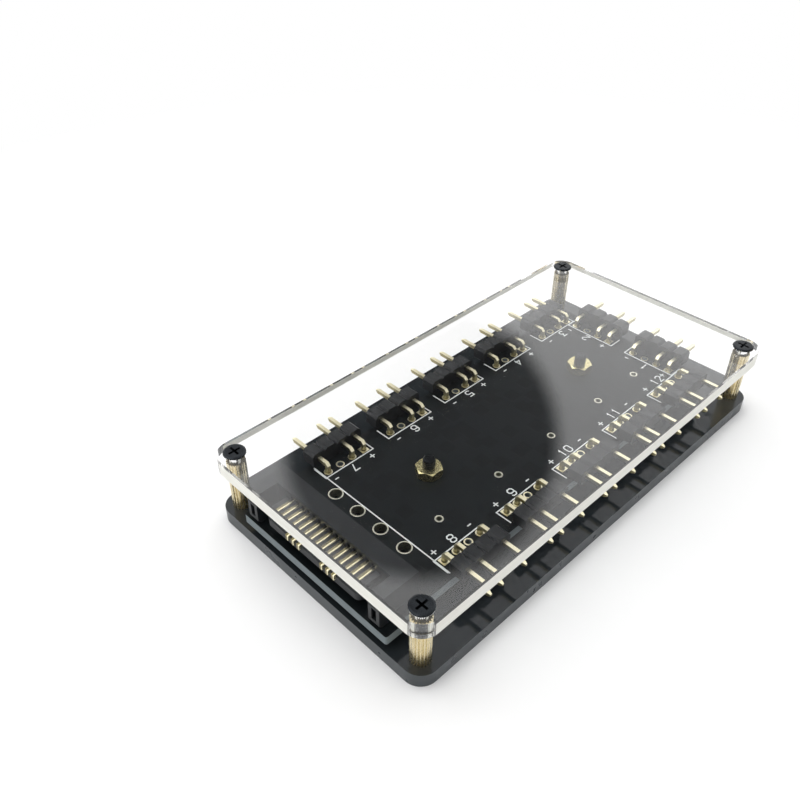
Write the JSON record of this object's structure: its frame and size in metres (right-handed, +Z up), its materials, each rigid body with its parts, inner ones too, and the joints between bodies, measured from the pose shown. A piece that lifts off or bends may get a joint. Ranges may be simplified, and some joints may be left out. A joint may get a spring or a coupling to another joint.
{
  "type": "addressable rgb hub",
  "caption": "Flat lighting splitter hub: a circuit board with pin headers round three sides and a power socket, between a black plate and a clear plate.",
  "frame": {"origin": "centre of the lower plate's underside", "axes": "+Z up from the face it rests on, X along the long side with the power socket facing -X, Y across"},
  "size_m": [0.088, 0.046, 0.0138],
  "materials": {
    "black_acrylic": "polished black acrylic, laser-cut edge",
    "clear_acrylic": "clear cast acrylic, polished edge",
    "board_laminate": "black solder mask over a glass-fibre laminate",
    "knurled_brass": "straight-knurled turned brass",
    "blackened_steel": "black oxide on steel",
    "nut_brass": "turned brass",
    "nylon": "natural nylon",
    "socket_plastic": "moulded black plastic",
    "contact_gold": "gold-plated stamped contact",
    "header_plastic": "moulded black plastic",
    "pin_gold": "gold-plated square wire"
  },
  "bodies": {
    "root": {"base_plate": "black_acrylic", "cover_plate": "clear_acrylic", "circuit_board": "board_laminate", "standoff_1": "knurled_brass", "standoff_2": "knurled_brass", "standoff_3": "knurled_brass", "standoff_4": "knurled_brass", "cover_screws": "blackened_steel", "base_screws": "blackened_steel", "board_screws": "blackened_steel", "board_nuts": "nut_brass", "board_spacers": "nylon", "socket_housing": "socket_plastic", "socket_contacts": "contact_gold", "header_housing_1": "header_plastic", "header_housing_2": "header_plastic", "header_housing_3": "header_plastic", "header_housing_4": "header_plastic", "header_housing_5": "header_plastic", "header_housing_6": "header_plastic", "header_housing_7": "header_plastic", "header_housing_8": "header_plastic", "header_housing_9": "header_plastic", "header_housing_10": "header_plastic", "header_housing_11": "header_plastic", "header_housing_12": "header_plastic", "header_pins_1": "pin_gold", "header_pins_2": "pin_gold", "header_pins_3": "pin_gold", "header_pins_4": "pin_gold", "header_pins_5": "pin_gold", "header_pins_6": "pin_gold", "header_pins_7": "pin_gold", "header_pins_8": "pin_gold", "header_pins_9": "pin_gold", "header_pins_10": "pin_gold", "header_pins_11": "pin_gold", "header_pins_12": "pin_gold"}
  },
  "joints": []
}
